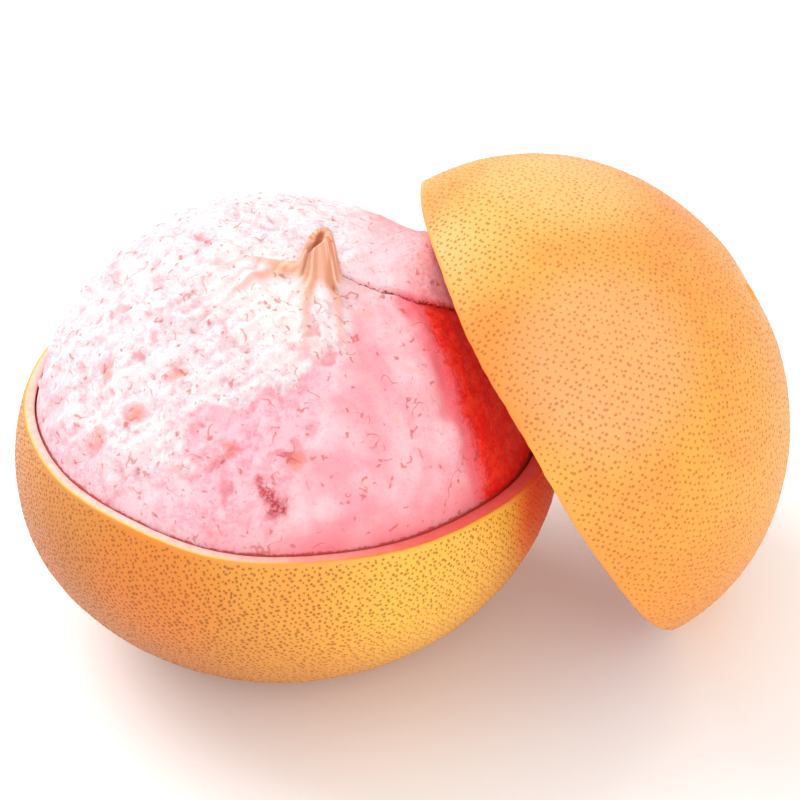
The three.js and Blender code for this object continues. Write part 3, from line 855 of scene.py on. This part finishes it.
def vein_marks(tree, where):
    """Short curled veins and a few long threads, each a number from 0 to 1 where the skin cuts them.

    The short ones are line pieces at random places and slants, one to a cell, bent by noise. The
    threads follow a level line of slow noise, here and there.
    """
    bend = add(tree, "TexNoise", (where, across(2.2), 1.0), out="Color")
    shift = add(tree, "VectorMath", (bend, (VEIN_BEND * MM,) * 3), operation="MULTIPLY")
    bent = add(tree, "VectorMath", (where, shift), operation="ADD")
    middle = add(tree, "TexVoronoi", (bent, across(VEIN_CELL)), out="Position")
    away = add(tree, "VectorMath", (bent, middle), operation="SUBTRACT")
    slant = add(tree, "VectorMath", (middle.node.outputs["Color"], (0.5, 0.5, 0.5)), operation="SUBTRACT")
    slant = add(tree, "VectorMath", (slant,), operation="NORMALIZE")
    along = add(tree, "VectorMath", (away, slant), operation="DOT_PRODUCT")
    along = add(tree, "Clamp", (along, -VEIN_HALF_LENGTH * MM, VEIN_HALF_LENGTH * MM))
    foot = add(tree, "VectorMath", (slant, along), operation="SCALE")
    gap = add(tree, "VectorMath", (away, foot), operation="SUBTRACT")
    gap = add(tree, "VectorMath", (gap,), operation="LENGTH")
    short = add(tree, "MapRange", (gap, VEIN_HALF_WIDTH * MM, 0.2 * MM, 0, 0.66))
    level = add(tree, "Math", (add(tree, "TexNoise", (where, across(11))), 0.5), operation="SUBTRACT")
    level = add(tree, "Math", (level,), operation="ABSOLUTE")
    here = add(tree, "MapRange", (add(tree, "TexNoise", (where, across(6), 1)), 0.55, 0.62))
    thread = add(tree, "MapRange", (level, 0.014, 0.004, 0, 0.55))
    thread = add(tree, "Math", (thread, here), operation="MULTIPLY")
    return add(tree, "Math", (short, thread), operation="MAXIMUM")


turns = np.linspace(0, 2 * np.pi, FRUIT_COLUMNS, endpoint=False)
seat_latitude = (-np.pi / 2 * (1 - np.arange(1, FRUIT_ROWS["seat"] + 1) / (FRUIT_ROWS["seat"] + 1)))[:, None]
dome_share = (np.arange(FRUIT_ROWS["dome"], 0, -1) / FRUIT_ROWS["dome"])[:, None]
reaches = np.sin(np.pi / 2 * dome_share ** DOME_CROWDING)
seat = seat_point(turns + 0 * seat_latitude, seat_latitude + 0 * turns)
dome, marks = with_relief(dome_point(turns + 0 * reaches, reaches + 0 * turns))
tip, _ = with_relief(nub_foot[None, None])
bottom = seat_point(np.array(0.0), np.array(-np.pi / 2))
grid = np.concatenate([seat, dome])
values = {}
for label in PITH_STATES:
    hidden = np.full(seat.shape[:2], FAR_FROM_IT if label in ("front", "above_rim") else 0.0)
    values[label] = np.concatenate([hidden, marks[label]])
# The hidden half takes the painted red light of the dome's lowest ring.
values["red_light"][:len(seat)] = marks["red_light"][0]
fruit = closed_skin("peeled_fruit_pith", grid, bottom, tip[0, 0], values)
fruit.data.materials.append(spongy_pith())
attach(fruit, "root")
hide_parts("peeled_fruit")


# The table is plain and pale, and the light is soft: a big window behind the left shoulder of the
# fruit, a weaker fill in front, and a white room.
FLOOR_HALF = 6.0
ROOM_LIGHT = 0.93
floor_corners = [(FLOOR_HALF * x, FLOOR_HALF * y, 0) for x, y in ((-1, -1), (1, -1), (1, 1), (-1, 1))]
floor_mesh = bpy.data.meshes.new("floor")
floor_mesh.from_pydata(floor_corners, [], [(0, 1, 2, 3)])
floor = bpy.data.objects.new("floor", floor_mesh)
bpy.context.scene.collection.objects.link(floor)
table = bpy.data.materials.new("pale_table")
table.use_nodes = True
table.node_tree.nodes["Principled BSDF"].inputs["Base Color"].default_value = linear("#FAFAFA")
table.node_tree.nodes["Principled BSDF"].inputs["Roughness"].default_value = 0.6
floor_mesh.materials.append(table)
floor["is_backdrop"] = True


def lamp(name, size, power, place, target, colour):
    """A square soft light at place, facing target."""
    data = bpy.data.lights.new(name, "AREA")
    data.size = size
    data.energy = power
    data.color = linear(colour)[:3]
    made = bpy.data.objects.new(name, data)
    made.location = place
    made.rotation_euler = (Vector(place) - Vector(target)).to_track_quat("Z", "Y").to_euler()
    bpy.context.scene.collection.objects.link(made)


AIM = (0.03, 0, 0.08)
lamp("window", 0.9, 11.6, (-0.75, 0.55, 1.0), AIM, "#FFFFFF")
lamp("fill", 1.2, 6.6, (0.3, -1.2, 0.7), AIM, "#FFF8F2")
world = bpy.data.worlds.new("room")
world.use_nodes = True
world.node_tree.nodes["Background"].inputs["Color"].default_value = linear("#FFFFFF")
world.node_tree.nodes["Background"].inputs["Strength"].default_value = ROOM_LIGHT
bpy.context.scene.world = world

boxes = {"cad": cad_box, "visual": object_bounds()}
{name: [list(corner) for corner in box] for name, box in boxes.items()}
